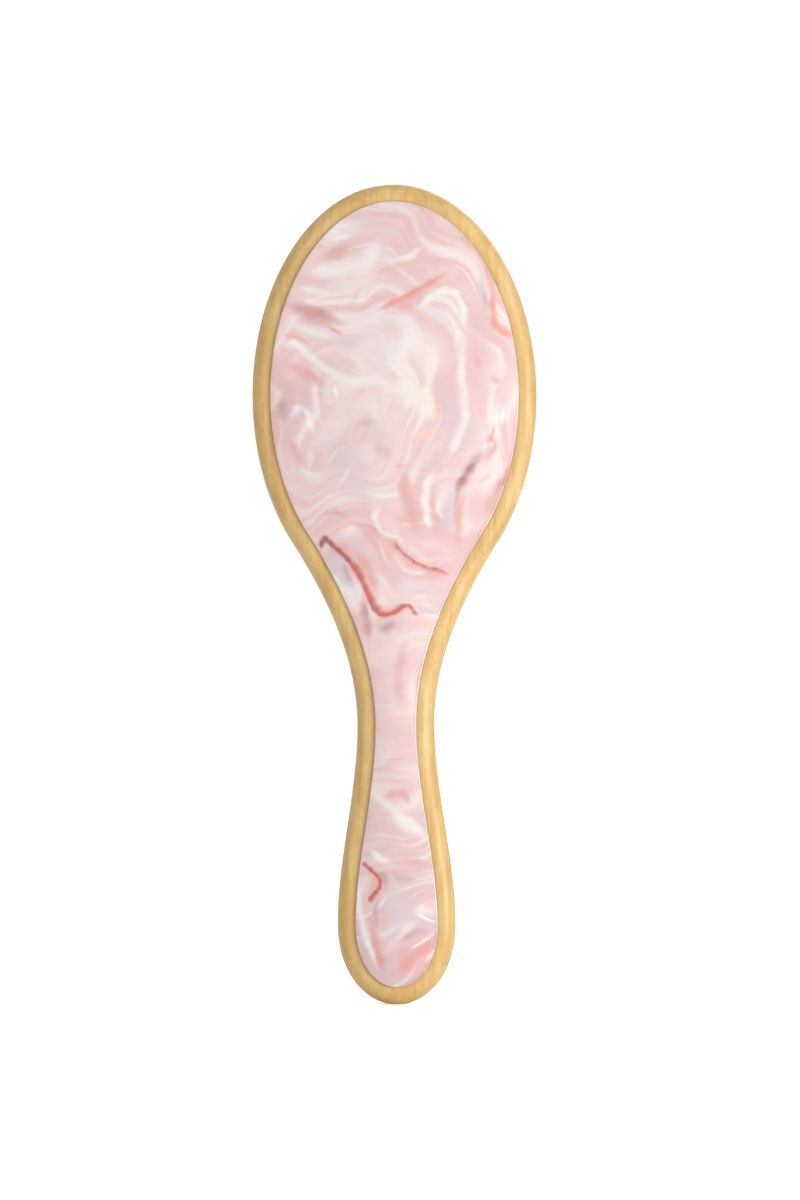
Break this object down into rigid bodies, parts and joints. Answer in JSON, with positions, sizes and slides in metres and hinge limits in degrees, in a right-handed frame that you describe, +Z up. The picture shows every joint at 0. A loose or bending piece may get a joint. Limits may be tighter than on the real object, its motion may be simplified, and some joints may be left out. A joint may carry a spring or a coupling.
{
  "type": "vanity hairbrush",
  "caption": "Oval cushion hairbrush: a bamboo body with a marbled sheet let into its back and ball-tipped bamboo pins in a pneumatic rubber cushion.",
  "frame": {"origin": "middle of the grip on the handle, on the bamboo's mid-plane, 45 mm up from the handle's end", "axes": "+Z up the brush to the crown, as it is held upright; +Y out along the pins, so the marbled back faces -Y; +X across the width"},
  "size_m": [0.0762, 0.04, 0.22],
  "materials": {
    "bamboo": "natural bamboo, sanded and waxed",
    "marbled_sheet": "polished marbled acetate, pale pink with rose, lilac and cream",
    "adhesive": "thin clear-white bonding film",
    "cushion_rubber": "satin natural-rubber skin, blush",
    "canvas": "woven cotton backing",
    "turned_bamboo": "turned bamboo, smooth ball tips"
  },
  "bodies": {
    "brush_body": {"bamboo_body": "bamboo", "back_inlay": "marbled_sheet", "inlay_adhesive": "adhesive", "cushion_skin": "cushion_rubber"},
    "cushion_mat": {"cushion_canvas": "canvas"},
    "pins_1": {"pin_row_1": "turned_bamboo"},
    "pins_2": {"pin_row_2": "turned_bamboo"},
    "pins_3": {"pin_row_3": "turned_bamboo"},
    "pins_4": {"pin_row_4": "turned_bamboo"},
    "pins_5": {"pin_row_5": "turned_bamboo"},
    "pins_6": {"pin_row_6": "turned_bamboo"},
    "pins_7": {"pin_row_7": "turned_bamboo"}
  },
  "joints": [
    {"name": "cushion_press", "type": "slide", "parent": "brush_body", "child": "cushion_mat", "axis": [0, -1, 0], "range_m": [0, 0.003], "stiffness_N_per_m": 600, "deforming": ["cushion_skin", "cushion_canvas"]},
    {"name": "row_1_flex", "type": "hinge", "parent": "cushion_mat", "child": "pins_1", "pos_m": [-0.0216, 0.011, 0.1182], "axis": [0, 0, 1], "range_deg": [-10, 10], "stiffness_Nm_per_rad": 0.6},
    {"name": "row_2_flex", "type": "hinge", "parent": "cushion_mat", "child": "pins_2", "pos_m": [-0.0144, 0.0115, 0.1182], "axis": [0, 0, 1], "range_deg": [-10, 10], "stiffness_Nm_per_rad": 0.9},
    {"name": "row_3_flex", "type": "hinge", "parent": "cushion_mat", "child": "pins_3", "pos_m": [-0.0072, 0.012, 0.1182], "axis": [0, 0, 1], "range_deg": [-10, 10], "stiffness_Nm_per_rad": 1},
    {"name": "row_4_flex", "type": "hinge", "parent": "cushion_mat", "child": "pins_4", "pos_m": [0, 0.012, 0.1182], "axis": [0, 0, 1], "range_deg": [-10, 10], "stiffness_Nm_per_rad": 1.1},
    {"name": "row_5_flex", "type": "hinge", "parent": "cushion_mat", "child": "pins_5", "pos_m": [0.0072, 0.012, 0.1182], "axis": [0, 0, 1], "range_deg": [-10, 10], "stiffness_Nm_per_rad": 1},
    {"name": "row_6_flex", "type": "hinge", "parent": "cushion_mat", "child": "pins_6", "pos_m": [0.0144, 0.0115, 0.1182], "axis": [0, 0, 1], "range_deg": [-10, 10], "stiffness_Nm_per_rad": 0.9},
    {"name": "row_7_flex", "type": "hinge", "parent": "cushion_mat", "child": "pins_7", "pos_m": [0.0216, 0.011, 0.1182], "axis": [0, 0, 1], "range_deg": [-10, 10], "stiffness_Nm_per_rad": 0.6}
  ]
}
